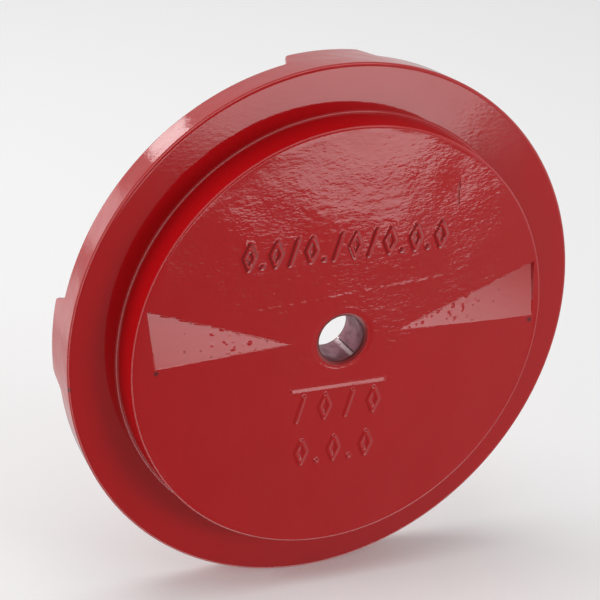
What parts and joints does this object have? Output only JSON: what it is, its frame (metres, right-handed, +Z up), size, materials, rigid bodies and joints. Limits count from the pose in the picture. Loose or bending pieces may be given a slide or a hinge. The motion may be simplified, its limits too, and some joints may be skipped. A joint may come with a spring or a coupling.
{
  "type": "blind flange",
  "caption": "Round stepped blanking disc in painted cast iron with a raised flat boss, rim lugs on the hollow back and a split steel bush in its central through bore.",
  "frame": {"origin": "on the bore axis, in the plane of the four lug ends, which is the rearmost plane of the disc", "axes": "+Y along the bore axis from the boss face to the back, +Z up with the disc standing upright, +X to the right seen from the front; one lug stands on each of the sides +X, +Z, -X and -Z, and the rows of marks run along X"},
  "size_m": [0.2848, 0.0501, 0.2848],
  "materials": {
    "red_paint": "thick glossy red paint over a rough cast skin",
    "bare_steel": "bare rolled steel, lightly oiled"
  },
  "bodies": {
    "root": {"flange_casting": "red_paint", "split_bush": "bare_steel"}
  },
  "joints": []
}
